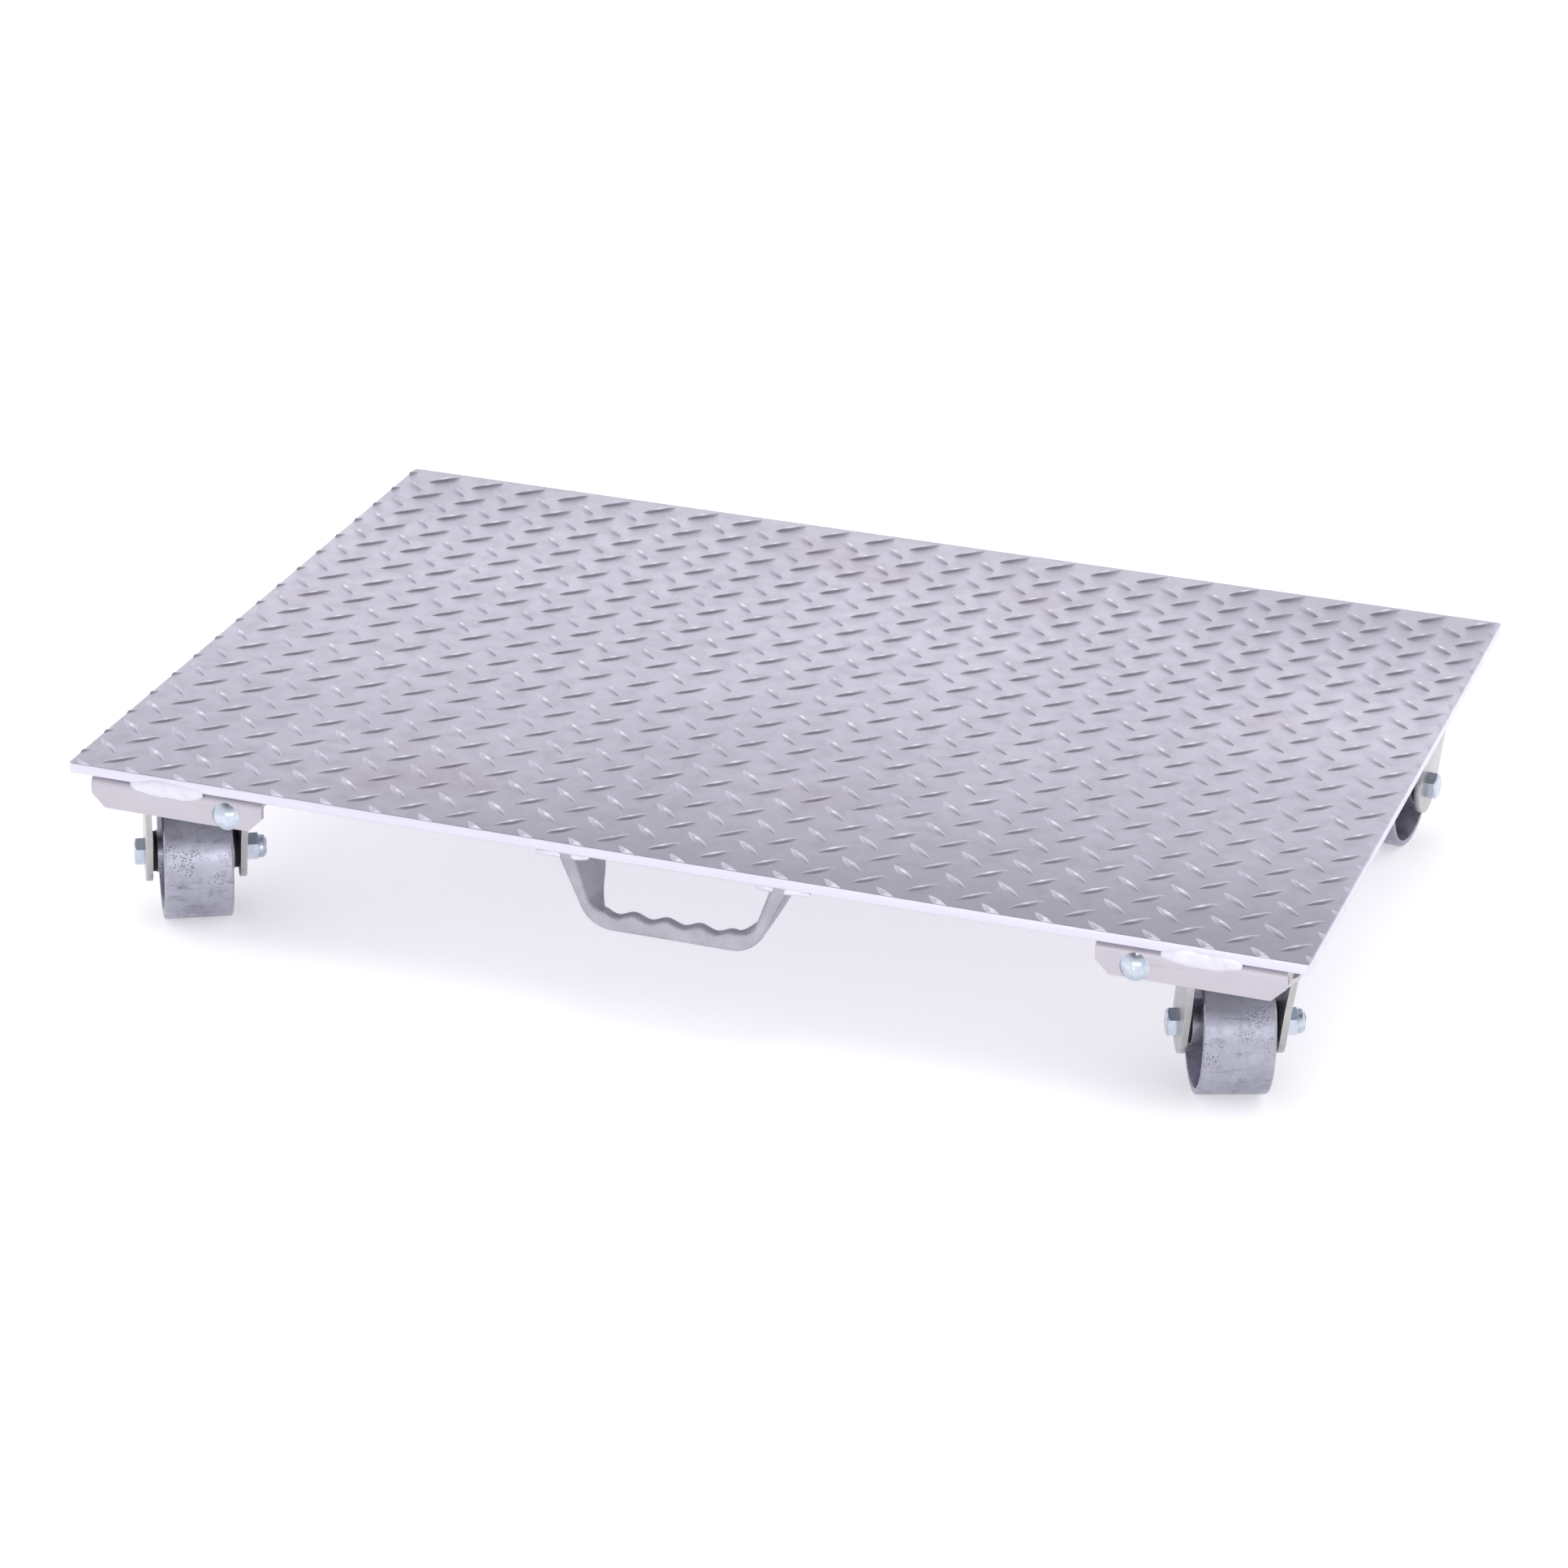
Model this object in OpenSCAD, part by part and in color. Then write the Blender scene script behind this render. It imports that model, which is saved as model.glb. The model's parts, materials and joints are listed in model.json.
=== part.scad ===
// Low platform truck: one tread plate deck on four swivel casters, with a cast pull handle.
// Origin: on the floor under the deck's centre. +X runs along the deck, -Y is the handle side.

/* [Deck] */
// Length of the deck along X
deck_length = 914.4; // [760:1:1300]
// Depth of the deck along Y
deck_depth = 652; // [500:1:900]
// Thickness of the deck plate
deck_thickness = 7.9; // [5:0.1:10]
// Height of the deck's top above the floor
deck_height = 151.5; // [151:0.5:156]
// Radius of the deck's corners
deck_corner_r = 3; // [2:0.5:12]

/* [Caster brackets] */
// Length of a bracket along X
bracket_length = 133.5; // [130:0.5:150]
// Depth of a bracket along Y, across both flanges
bracket_depth = 144; // [140:1:160]
// Sheet thickness of a bracket
bracket_sheet = 4.5; // [3:0.1:5]
// Height of a bracket flange below the deck
flange_height = 23.5; // [20:0.1:25]
// Distance from the deck's left end to the left brackets
left_inset = 17.5; // [12:0.5:40]
// Distance from the deck's right end to the right brackets
right_inset = 14.5; // [12:0.5:40]
// Length of the chamfer on a flange's lower corners
flange_chamfer = 10.5; // [4:0.5:12]
// Diameter of the retaining bolt's round head
round_head_d = 21; // [18:0.5:24]
// Distance from a bracket's inner end to its retaining bolt
retaining_inset = 28; // [26:0.5:28]

/* [Casters] */
// Wheel diameter
wheel_d = 101.6; // [98:0.1:101.6]
// Wheel width over the tread
wheel_width = 50.8; // [40:0.1:51]
// Distance of the axle behind the kingpin
trail = 27; // [26:0.5:32]
// Diameter of the axle bolt
axle_d = 12.7; // [10:0.1:13]
// Thickness of the fork's plate
fork_sheet = 4.8; // [4:0.1:5]
// Length of the top plate along X
plate_length = 104; // [100:0.5:104]
// Depth of the top plate along Y
plate_depth = 114; // [110:0.5:118]
// Distance from a bracket's outer end to the kingpin
kingpin_inset = 48.5; // [46:0.5:48.5]
// Swivel angle of the front left caster
swivel_fl = 28.5; // [-180:0.5:180]
// Swivel angle of the front right caster
swivel_fr = 22; // [-180:0.5:180]
// Swivel angle of the back left caster
swivel_bl = 188; // [-180:0.5:200]
// Swivel angle of the back right caster
swivel_br = 174.5; // [-180:0.5:200]

/* [Handle] */
// Half of the handle's width at the deck
handle_half_top = 86; // [75:1:100]
// Depth of the handle below the deck
handle_drop = 54.5; // [50:0.5:60]
// Thickness of the grip along Y
grip_depth = 10; // [8:0.5:16]
// Length of a handle leg along the deck's underside
leg_depth = 56; // [40:1:80]
// Distance between finger crests
finger_pitch = 24.5; // [20:0.5:24.5]
// Offset of the handle from the deck's centre
handle_offset = 4; // [-20:1:20]

/* [Hidden] */
$fn = 96;

gap = 0.05;                 // running clearance, radial
contact_gap = 0.02;         // play between faces that rest on each other

// Heights of the stack, from the deck down
deck_bottom = deck_height - deck_thickness;
web_bottom = deck_bottom - bracket_sheet;
flange_bottom = deck_bottom - flange_height;
bend_inner_r = 2;
spacer_thickness = 8.6;
plate_thickness = 4;
plate_top = web_bottom - spacer_thickness;
plate_bottom = plate_top - plate_thickness;

// Swivel raceway
axle_z = wheel_d / 2;
race_r = 27;
ball_r = 3.175;
ball_count = 20;
ball_drop = 9;
ball_z = plate_bottom - ball_drop;
race_outer_r = 36;
race_inner_r = 21;
race_skirt = 2.8;
race_top = plate_bottom - contact_gap;
kingpin_r = 8;
crown_drop = 6.5;
crown_top = ball_z - crown_drop;
crown_bottom = crown_top - fork_sheet;
crown_r = 34;

// Fork and axle
fork_half = 37;
fork_flare = 1;
fork_bend_r = 8;
fork_end_r = 22;
fork_inner_half = fork_half - fork_sheet;
crown_front = -22;
crown_back = 26;
axle_r = axle_d / 2;
hex_across = 19.05;
head_height = 8;
nut_height = 15;
sleeve_r = 9.5;
sleeve_half = fork_inner_half - gap;

// Wheel and its bearing
hub_r = 16;
hub_half = 28.8;
hub_bore_r = 13;
rim_wall = 4.8;
web_half = 4;
washer_r = 15;
washer_thickness = sleeve_half - hub_half - 2 * gap;
roller_r = 1.6;
roller_count = 14;
cage_half = 26;

// Plate bolts, 3/8 in, in a rectangle round the kingpin
plate_bolt_r = 4.75;
plate_bolt_x = 38;
plate_bolt_y = 47;
plate_bolt_head = 6;
plate_bolt_across = 14.3;
plate_corner_r = 12;

// Retaining bolts, 3/8 in, level with the lower part of the flange
retaining_r = 4.76;
retaining_drop = 22.5;
retaining_z = deck_height - retaining_drop;
round_head_height = 5;
spacer_depth = 32;
spacer_length = 98;
spacer_y = bracket_depth / 2 - bracket_sheet - bend_inner_r - spacer_depth / 2;

// Weld beads along the joint of deck and flange
weld_length = 57;
weld_inset = 31;
weld_height = 15;
weld_bulge = 2;
weld_z = deck_height - 9.5;

bracket_mid_y = deck_depth / 2 - bracket_depth / 2;
left_x = -deck_length / 2 + left_inset;
right_x = deck_length / 2 - right_inset;

// A corner frame has its origin on the floor at the bracket's outer end, in line with the
// kingpin. Its +X runs inwards along the deck, and its -Y is the deck's near long edge.
module corner(side, end) {
    translate([side < 0 ? left_x : right_x, end * bracket_mid_y, 0])
        mirror([side > 0 ? 1 : 0, 0, 0])
            mirror([0, end > 0 ? 1 : 0, 0])
                children();
}

module each_corner() {
    for (side = [-1, 1], end = [-1, 1])
        corner(side, end) children();
}

// A caster's own frame has its origin on the floor under the kingpin and its wheel towards +Y.
module caster(side, end, angle) {
    x = side < 0 ? left_x + kingpin_inset : right_x - kingpin_inset;
    translate([x, end * bracket_mid_y, 0])
        rotate([0, 0, angle])
            children();
}

module fl() { caster(-1, -1, swivel_fl) children(); }
module fr() { caster(1, -1, swivel_fr) children(); }
module bl() { caster(-1, 1, swivel_bl) children(); }
module br() { caster(1, 1, swivel_br) children(); }

function arc(cx, cy, r, from, to, steps) =
    [for (i = [0 : steps]) let (a = from + (to - from) * i / steps)
        [cx + r * cos(a), cy + r * sin(a)]];

function mirrored(points) =
    [for (i = [len(points) - 1 : -1 : 0]) [-points[i][0], points[i][1]]];

// Point where the tangent from p touches a circle; turn is +1 or -1
function tangent_point(c, r, p, turn) =
    let (d = p - c, a = atan2(d[1], d[0]) + turn * acos(r / norm(d)))
        c + r * [cos(a), sin(a)];

module rounded_plate(length, depth, r, thickness) {
    linear_extrude(thickness)
        union() {
            square([length - 2 * r, depth], center = true);
            square([length, depth - 2 * r], center = true);
            for (x = [-1, 1], y = [-1, 1])
                translate([x * (length / 2 - r), y * (depth / 2 - r)])
                    circle(r);
        }
}

module hex_prism(across, height) {
    cylinder(h = height, r = across / 2 / cos(30), $fn = 6);
}

// Hex with the chamfered ring that a machined head or nut has at its free end
module hex_end(across, height) {
    chamfer = across * 0.11;
    intersection() {
        hex_prism(across, height);
        rotate_extrude()
            polygon([
                [0, 0], [across * 0.62, 0], [across * 0.62, height - chamfer],
                [across * 0.62 - chamfer * 1.7, height], [0, height]
            ]);
    }
}

// ---- Deck ----

module deck_plate() {
    color([0.76, 0.76, 0.79])
        translate([0, 0, deck_bottom])
            rounded_plate(deck_length, deck_depth, deck_corner_r, deck_thickness);
}

// ---- Handle ----

grip_height = 15;
crest_height = 1.8;
finger_shift = -4.5;
handle_outer_slope = 25;
handle_outer_r = 26;
handle_inner_slope = 19;
handle_inner_r = 12;
leg_width_top = 13;

// Half outline of the outside, from the deck down to the middle of the grip
function handle_outer() =
    let (
        corner_x = handle_half_top - handle_drop * tan(handle_outer_slope),
        t = handle_outer_r * tan((90 - handle_outer_slope) / 2),
        cx = corner_x - t,
        cz = -handle_drop + handle_outer_r
    )
    concat([[handle_half_top, 0]], arc(cx, cz, handle_outer_r, -handle_outer_slope, -90, 14));

// Half outline of the opening, from the deck down to the grip
function handle_inner() =
    let (
        top = handle_half_top - leg_width_top,
        depth = handle_drop - grip_height,
        corner_x = top - depth * tan(handle_inner_slope),
        t = handle_inner_r * tan((90 - handle_inner_slope) / 2),
        cx = corner_x - t,
        cz = -depth + handle_inner_r
    )
    concat([[top, 1]], arc(cx, cz, handle_inner_r, -handle_inner_slope, -80, 8));

function finger_wave() =
    let (half = 2 * finger_pitch, steps = 60, crest_z = grip_height - handle_drop)
    [for (i = [0 : steps])
        let (x = half - 2 * half * i / steps, turn = 360 * (x - finger_shift) / finger_pitch)
            [x, crest_z - crest_height + crest_height * cos(turn)]];

module handle_front() {
    difference() {
        polygon(concat(handle_outer(), mirrored(handle_outer())));
        polygon(concat(handle_inner(), finger_wave(), mirrored(handle_inner())));
    }
}

// Side outline: a thin grip, and legs that grow deeper towards the deck
module handle_side() {
    rise = handle_drop - grip_height;
    reach = leg_depth - grip_depth;
    polygon(concat(
        [[0, 0], [0, -handle_drop], [grip_depth, -handle_drop]],
        [for (i = [0 : 14]) let (a = 90 * i / 14)
            [grip_depth + reach * sin(a), -rise * cos(a)]]
    ));
}

module handle() {
    color([0.66, 0.66, 0.67])
        translate([handle_offset, -deck_depth / 2, deck_bottom])
            intersection() {
                translate([0, leg_depth, 0])
                    rotate([90, 0, 0])
                        linear_extrude(leg_depth) handle_front();
                translate([-handle_half_top - 1, 0, 0])
                    rotate([90, 0, 90])
                        linear_extrude(2 * handle_half_top + 2) handle_side();
            }
}

// ---- Brackets and what they hold ----

module bracket_section() {
    r = bracket_sheet + bend_inner_r;
    half = bracket_depth / 2;
    outer = concat(
        [[half, flange_bottom]],
        arc(half - r, deck_bottom - r, r, 0, 90, 12)
    );
    inner = concat(
        [[half - bracket_sheet, flange_bottom - 1]],
        arc(half - r, deck_bottom - r, bend_inner_r, 0, 90, 6)
    );
    difference() {
        polygon(concat(outer, mirrored(outer)));
        polygon(concat(inner, mirrored(inner)));
    }
}

module bracket(side, end) {
    color([0.79, 0.77, 0.78])
        corner(side, end)
            difference() {
                rotate([90, 0, 90])
                    linear_extrude(bracket_length) bracket_section();
                for (x = [0, bracket_length])
                    translate([x, 0, flange_bottom])
                        rotate([0, 45, 0])
                            cube(
                                [flange_chamfer * sqrt(2), bracket_depth + 2, flange_chamfer * sqrt(2)],
                                center = true
                            );
                translate([bracket_length - retaining_inset, 0, retaining_z])
                    rotate([90, 0, 0])
                        cylinder(h = bracket_depth + 2, r = retaining_r + gap, center = true);
            }
}

module bracket_fl() { bracket(-1, -1); }
module bracket_fr() { bracket(1, -1); }
module bracket_bl() { bracket(-1, 1); }
module bracket_br() { bracket(1, 1); }

module plate_bolt_places() {
    for (x = [-1, 1], y = [-1, 1])
        translate([kingpin_inset + x * plate_bolt_x, y * plate_bolt_y, 0])
            children();
}

module spacer_bars() {
    color([0.6, 0.6, 0.61])
        each_corner()
            difference() {
                for (y = [-1, 1])
                    translate([spacer_length / 2, y * spacer_y, plate_top + spacer_thickness / 2])
                        cube([spacer_length, spacer_depth, spacer_thickness], center = true);
                plate_bolt_places()
                    translate([0, 0, plate_top - 1])
                        cylinder(h = spacer_thickness + 2, r = plate_bolt_r + gap);
            }
}

// A stadium outline, centred, along X
module stadium(length, height) {
    union() {
        square([length - height, height], center = true);
        for (x = [-1, 1])
            translate([x * (length - height) / 2, 0])
                circle(d = height);
    }
}

module weld_beads() {
    color([0.83, 0.83, 0.86])
        each_corner()
            translate([weld_inset + weld_length / 2, -bracket_depth / 2, weld_z])
                rotate([90, 0, 0])
                    union() {
                        linear_extrude(weld_bulge / 2)
                            stadium(weld_length, weld_height);
                        linear_extrude(weld_bulge)
                            stadium(weld_length - 4, weld_height - 4);
                    }
}

// Round head and plain shank through both flanges
module retaining_bolts() {
    head_r = round_head_d / 2;
    dome_r = (head_r * head_r + round_head_height * round_head_height) / (2 * round_head_height);
    shank = bracket_depth + 13;
    color([0.72, 0.78, 0.82])
        each_corner()
            translate([bracket_length - retaining_inset, -bracket_depth / 2, retaining_z])
                rotate([-90, 0, 0])
                    union() {
                        cylinder(h = shank, r = retaining_r);
                        intersection() {
                            translate([0, 0, dome_r - round_head_height])
                                sphere(dome_r);
                            translate([0, 0, -round_head_height])
                                cylinder(h = round_head_height, r = head_r);
                        }
                    }
}

module retaining_nuts() {
    nut_h = 8.5;
    nut_across = 14.3;
    color([0.72, 0.78, 0.82])
        each_corner()
            translate([bracket_length - retaining_inset, bracket_depth / 2, retaining_z])
                rotate([-90, 0, 0])
                    difference() {
                        hex_end(nut_across, nut_h);
                        translate([0, 0, -1])
                            cylinder(h = nut_h + 2, r = retaining_r + gap);
                    }
}

module plate_bolts() {
    color([0.72, 0.78, 0.82])
        each_corner()
            plate_bolt_places()
                union() {
                    translate([0, 0, plate_bottom])
                        mirror([0, 0, 1]) hex_end(plate_bolt_across, plate_bolt_head);
                    translate([0, 0, plate_bottom - 1])
                        cylinder(h = plate_thickness + spacer_thickness - 2, r = plate_bolt_r);
                }
}

// ---- Caster, fixed part ----

module top_plate(side, end) {
    color([0.68, 0.68, 0.66])
        corner(side, end)
            difference() {
                translate([kingpin_inset, 0, plate_bottom])
                    rounded_plate(plate_length, plate_depth, plate_corner_r, plate_thickness);
                translate([kingpin_inset, 0, plate_bottom - 1])
                    cylinder(h = plate_thickness + 2, r = kingpin_r + gap);
                plate_bolt_places()
                    translate([0, 0, plate_bottom - 1])
                        cylinder(h = plate_thickness + 2, r = plate_bolt_r + 0.5);
            }
}

module ball_groove() {
    rotate_extrude()
        translate([race_r, ball_z])
            circle(ball_r + gap, $fn = 48);
}

module upper_race() {
    skirt_inner = race_outer_r - race_skirt;
    seat_z = ball_z + 2;
    rim_z = ball_z - 3;
    chamfer = 3;
    color([0.62, 0.62, 0.6])
        difference() {
            rotate_extrude()
                polygon([
                    [kingpin_r + gap, seat_z],
                    [skirt_inner, seat_z],
                    [skirt_inner, rim_z],
                    [race_outer_r, rim_z],
                    [race_outer_r, race_top - chamfer],
                    [race_outer_r - chamfer, race_top],
                    [kingpin_r + gap, race_top]
                ]);
            ball_groove();
        }
}

module kingpin() {
    head_r = 12;
    head_h = 4;
    upset_r = 11;
    upset_h = 3.5;
    top = crown_bottom - 2 * gap;
    head_rim = 2;
    color([0.55, 0.55, 0.54])
        union() {
            translate([0, 0, top - head_h / 2])
                cylinder(h = plate_top - top + head_h / 2 + 1, r = kingpin_r);
            translate([0, 0, top])
                mirror([0, 0, 1])
                    rotate_extrude()
                        polygon([
                            [0, 0], [head_r, 0], [head_r, head_rim],
                            [head_r - 5, head_h], [0, head_h]
                        ]);
            translate([0, 0, plate_top + contact_gap])
                cylinder(h = upset_h, r1 = upset_r, r2 = upset_r - 4);
        }
}

// ---- Caster, swivelling part ----

module fork_front_outline() {
    shoulder = fork_half + fork_flare;
    bend_x = shoulder - fork_bend_r;
    bend_z = crown_top - fork_bend_r;
    foot = axle_z - fork_end_r - 1;
    knee = axle_z + fork_end_r;
    outer = concat(
        [[fork_half, foot], [fork_half, knee]],
        arc(bend_x, bend_z, fork_bend_r, 0, 90, 14)
    );
    inner = concat(
        [[fork_inner_half, foot - 1], [fork_inner_half, knee]],
        arc(bend_x, bend_z, fork_bend_r - fork_sheet, 0, 90, 8)
    );
    difference() {
        polygon(concat(outer, mirrored(outer)));
        polygon(concat(inner, mirrored(inner)));
    }
}

module fork_side_outline() {
    c = [trail, axle_z];
    front = [crown_front, crown_top + 1];
    back = [crown_back, crown_top + 1];
    union() {
        translate(c) circle(fork_end_r);
        polygon([
            front,
            tangent_point(c, fork_end_r, front, 1),
            c,
            tangent_point(c, fork_end_r, back, -1),
            back
        ]);
    }
}

module fork() {
    span = 2 * (fork_half + fork_flare) + 2;
    color([0.74, 0.74, 0.72])
        difference() {
            union() {
                intersection() {
                    rotate([90, 0, 0])
                        translate([0, 0, -150])
                            linear_extrude(300) fork_front_outline();
                    rotate([90, 0, 90])
                        translate([0, 0, -span / 2])
                            linear_extrude(span) fork_side_outline();
                }
                translate([0, 0, crown_bottom])
                    cylinder(h = fork_sheet, r = crown_r);
                translate([0, 0, crown_top - 1])
                    cylinder(h = ball_z - 2 - crown_top + 1, r = race_outer_r - race_skirt - 1);
            }
            translate([0, 0, crown_bottom - 1])
                cylinder(h = 20, r = kingpin_r + gap);
            translate([0, 0, crown_top + 1])
                cylinder(h = 20, r = race_inner_r);
            ball_groove();
            translate([0, trail, axle_z])
                rotate([0, 90, 0])
                    cylinder(h = span, r = axle_r + gap, center = true);
        }
}

module race_balls() {
    color([0.7, 0.7, 0.72])
        for (i = [0 : ball_count - 1])
            rotate([0, 0, 360 * i / ball_count])
                translate([race_r, 0, ball_z])
                    sphere(ball_r, $fn = 32);
}

// Everything on the axle is drawn along +Z and laid along X by this module
module on_axle() {
    translate([0, trail, axle_z])
        rotate([0, 90, 0])
            children();
}

module axle_bolt() {
    tail = 15.5;
    color([0.7, 0.76, 0.82])
        on_axle()
            union() {
                translate([0, 0, -fork_half - 1])
                    cylinder(h = 2 * fork_half + 1 + tail, r = axle_r);
                translate([0, 0, -fork_half])
                    mirror([0, 0, 1]) hex_end(hex_across, head_height);
            }
}

// Lock nut: hex body with a round collar that holds the locking ring
module axle_nut() {
    hex_h = nut_height * 0.7;
    collar_r = hex_across * 0.46;
    color([0.7, 0.76, 0.8])
        on_axle()
            translate([0, 0, fork_half])
                difference() {
                    union() {
                        hex_end(hex_across, hex_h);
                        rotate_extrude()
                            polygon(concat(
                                [[0, 0], [collar_r, 0]],
                                arc(collar_r - 3, nut_height - 3, 3, 0, 90, 6),
                                [[0, nut_height]]
                            ));
                    }
                    translate([0, 0, -1])
                        cylinder(h = nut_height + 2, r = axle_r + gap);
                }
}

module axle_sleeve() {
    color([0.6, 0.6, 0.62])
        on_axle()
            difference() {
                cylinder(h = 2 * sleeve_half, r = sleeve_r, center = true);
                cylinder(h = 2 * sleeve_half + 2, r = axle_r + gap, center = true);
            }
}

module seal_washers() {
    color([0.09, 0.09, 0.1])
        on_axle()
            for (s = [-1, 1])
                translate([0, 0, s * (hub_half + gap + washer_thickness / 2)])
                    difference() {
                        cylinder(h = washer_thickness, r = washer_r, center = true);
                        cylinder(h = washer_thickness + 2, r = sleeve_r + gap, center = true);
                    }
}

// ---- Caster, rolling part ----

// Half section of the wheel: radius along X, width along Y
module wheel_section() {
    half = wheel_width / 2;
    r = wheel_d / 2;
    edge_r = 2;
    rim_in = r - rim_wall;
    draft = 2.5;
    right = concat(
        [[hub_bore_r, 0], [hub_bore_r, hub_half]],
        arc(hub_r - 1, hub_half - 1, 1, 90, 0, 4),
        arc(hub_r + 6, web_half + 5, 5, 180, 270, 6),
        arc(rim_in - draft - 6, web_half + 5, 5, 270, 360, 6),
        arc(rim_in + 0.7, half - 0.7, 0.7, 180, 90, 3),
        arc(r - edge_r, half - edge_r, edge_r, 90, 0, 8),
        [[r, 0]]
    );
    polygon(concat(right, [for (i = [len(right) - 2 : -1 : 1]) [right[i][0], -right[i][1]]]));
}

module wheel() {
    color([0.66, 0.66, 0.7])
        on_axle()
            rotate_extrude($fn = 180)
                wheel_section();
}

// Caged rollers between the sleeve and the hub
module roller_bearing() {
    pitch_r = (sleeve_r + hub_bore_r) / 2;
    ring = 3;
    color([0.5, 0.5, 0.52])
        on_axle()
            union() {
                for (s = [-1, 1])
                    translate([0, 0, s * (cage_half - ring / 2)])
                        difference() {
                            cylinder(h = ring, r = hub_bore_r - gap, center = true);
                            cylinder(h = ring + 2, r = sleeve_r + gap, center = true);
                        }
                for (i = [0 : roller_count - 1])
                    rotate([0, 0, 360 * i / roller_count])
                        translate([pitch_r, 0, 0])
                            cylinder(h = 2 * (cage_half - ring / 2), r = roller_r, center = true, $fn = 32);
            }
}

deck_plate();
handle();
bracket_fl();
bracket_fr();
bracket_bl();
bracket_br();
spacer_bars();
weld_beads();
retaining_bolts();
retaining_nuts();
plate_bolts();
top_plate(-1, -1);  // top_plate_fl
top_plate(1, -1);  // top_plate_fr
top_plate(-1, 1);  // top_plate_bl
top_plate(1, 1);  // top_plate_br
fl() upper_race();  // upper_race_fl
fl() kingpin();  // kingpin_fl
fl() fork();  // fork_fl
fl() race_balls();  // race_balls_fl
fl() axle_bolt();  // axle_bolt_fl
fl() axle_nut();  // axle_nut_fl
fl() axle_sleeve();  // axle_sleeve_fl
fl() seal_washers();  // seal_washers_fl
fl() wheel();  // wheel_fl
fl() roller_bearing();  // roller_bearing_fl
fr() upper_race();  // upper_race_fr
fr() kingpin();  // kingpin_fr
fr() fork();  // fork_fr
fr() race_balls();  // race_balls_fr
fr() axle_bolt();  // axle_bolt_fr
fr() axle_nut();  // axle_nut_fr
fr() axle_sleeve();  // axle_sleeve_fr
fr() seal_washers();  // seal_washers_fr
fr() wheel();  // wheel_fr
fr() roller_bearing();  // roller_bearing_fr
bl() upper_race();  // upper_race_bl
bl() kingpin();  // kingpin_bl
bl() fork();  // fork_bl
bl() race_balls();  // race_balls_bl
bl() axle_bolt();  // axle_bolt_bl
bl() axle_nut();  // axle_nut_bl
bl() axle_sleeve();  // axle_sleeve_bl
bl() seal_washers();  // seal_washers_bl
bl() wheel();  // wheel_bl
bl() roller_bearing();  // roller_bearing_bl
br() upper_race();  // upper_race_br
br() kingpin();  // kingpin_br
br() fork();  // fork_br
br() race_balls();  // race_balls_br
br() axle_bolt();  // axle_bolt_br
br() axle_nut();  // axle_nut_br
br() axle_sleeve();  // axle_sleeve_br
br() seal_washers();  // seal_washers_br
br() wheel();  // wheel_br
br() roller_bearing();  // roller_bearing_br
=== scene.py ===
import json
import math
import random

import bmesh
import bpy
from mathutils import Matrix, Vector


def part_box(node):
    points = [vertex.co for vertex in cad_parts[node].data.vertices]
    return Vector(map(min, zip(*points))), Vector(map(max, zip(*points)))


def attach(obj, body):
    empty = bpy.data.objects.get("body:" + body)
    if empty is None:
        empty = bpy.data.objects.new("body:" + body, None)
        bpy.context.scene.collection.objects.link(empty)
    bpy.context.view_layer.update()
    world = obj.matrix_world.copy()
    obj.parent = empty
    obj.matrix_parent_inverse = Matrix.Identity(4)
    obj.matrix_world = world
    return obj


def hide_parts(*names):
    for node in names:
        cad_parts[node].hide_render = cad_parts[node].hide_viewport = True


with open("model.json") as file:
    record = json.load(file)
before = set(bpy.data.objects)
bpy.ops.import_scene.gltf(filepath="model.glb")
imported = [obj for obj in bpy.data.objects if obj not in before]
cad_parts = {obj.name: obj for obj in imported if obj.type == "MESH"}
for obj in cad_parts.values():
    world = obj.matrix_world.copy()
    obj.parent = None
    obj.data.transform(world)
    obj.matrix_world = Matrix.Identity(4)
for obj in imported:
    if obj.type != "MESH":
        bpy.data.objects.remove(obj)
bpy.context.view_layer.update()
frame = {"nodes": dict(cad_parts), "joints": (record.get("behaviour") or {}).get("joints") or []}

random.seed(11)

MM = 0.001
CORNERS = ("fl", "fr", "bl", "br")


# ---- Small geometry helpers ------------------------------------------------------------

def arc(cx, cz, radius, start, end, steps):
    """Points on an arc, angles in degrees."""
    points = []
    for i in range(steps + 1):
        a = math.radians(start + (end - start) * i / steps)
        points.append((cx + radius * math.cos(a), cz + radius * math.sin(a)))
    return points


def new_object(name, verts, faces, smooth_angle=None):
    """A smooth-shaded mesh object; edges sharper than smooth_angle (degrees) stay hard."""
    mesh = bpy.data.meshes.new(name)
    mesh.from_pydata(verts, [], faces)
    mesh.validate()
    obj = bpy.data.objects.new(name, mesh)
    bpy.context.scene.collection.objects.link(obj)
    for p in mesh.polygons:
        p.use_smooth = True
    if smooth_angle is not None:
        mesh.set_sharp_from_angle(angle=math.radians(smooth_angle))
    return obj


def add_loft(verts, faces, rings):
    """Adds a closed tube through rings of equally many points, with a cap at each end."""
    first = len(verts)
    n = len(rings[0])
    for ring in rings:
        verts.extend(ring)
    for i in range(len(rings) - 1):
        a = first + i * n
        b = a + n
        for k in range(n):
            k2 = (k + 1) % n
            faces.append((a + k, a + k2, b + k2, b + k))
    faces.append(tuple(first + k for k in reversed(range(n))))
    last = first + (len(rings) - 1) * n
    faces.append(tuple(last + k for k in range(n)))


def smoothstep(x):
    """0 below 0, 1 above 1, and an S-shaped rise between."""
    x = min(1.0, max(0.0, x))
    return x * x * (3 - 2 * x)


# ---- Deck: tread plate with raised lugs ------------------------------------------------

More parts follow.
